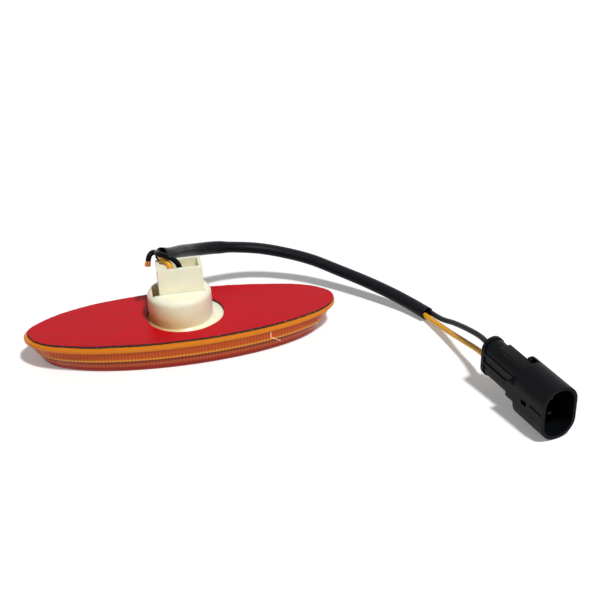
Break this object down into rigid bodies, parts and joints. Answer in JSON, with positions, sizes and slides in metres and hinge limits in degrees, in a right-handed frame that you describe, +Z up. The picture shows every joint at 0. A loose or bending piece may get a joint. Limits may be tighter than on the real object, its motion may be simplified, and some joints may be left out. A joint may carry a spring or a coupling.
{
  "type": "side marker lamp",
  "caption": "Amber oval side marker lamp, lying on its lens, with a foam pad and liner on its back, a bulb holder and a short lead to a sealed plug.",
  "frame": {"origin": "Middle of the lamp's own outline, on the surface that the lens lies on.", "axes": "X along the lamp's long axis, Y across it away from the plug's side, Z up out of the mounting face."},
  "size_m": [0.1828, 0.1508, 0.0379],
  "materials": {
    "amber_lens": "gloss",
    "ivory_plastic": "satin",
    "black_foam": "matte",
    "red_liner": "satin",
    "brass": "satin",
    "clear_glass": "gloss",
    "tungsten": "satin",
    "black_insulation": "satin",
    "yellow_insulation": "satin",
    "black_sleeve": "gloss",
    "copper": "satin",
    "black_plug": "satin",
    "seal_rubber": "matte",
    "tin": "satin"
  },
  "bodies": {
    "root": {"lens": "amber_lens", "housing": "ivory_plastic", "foam_pad": "black_foam", "release_liner": "red_liner", "bulb_holder": "ivory_plastic", "contact_black": "brass", "contact_yellow": "brass", "bulb_glass": "clear_glass", "bulb_filament": "tungsten", "bulb_post_left": "tungsten", "bulb_post_right": "tungsten", "wire_black": "black_insulation", "wire_yellow": "yellow_insulation", "cable_sleeve": "black_sleeve", "wire_tail": "black_insulation", "tail_core": "copper", "plug_housing": "black_plug", "terminal_lock": "black_plug", "seal_black": "seal_rubber", "seal_yellow": "seal_rubber", "terminal_black": "tin", "terminal_yellow": "tin"}
  },
  "joints": []
}
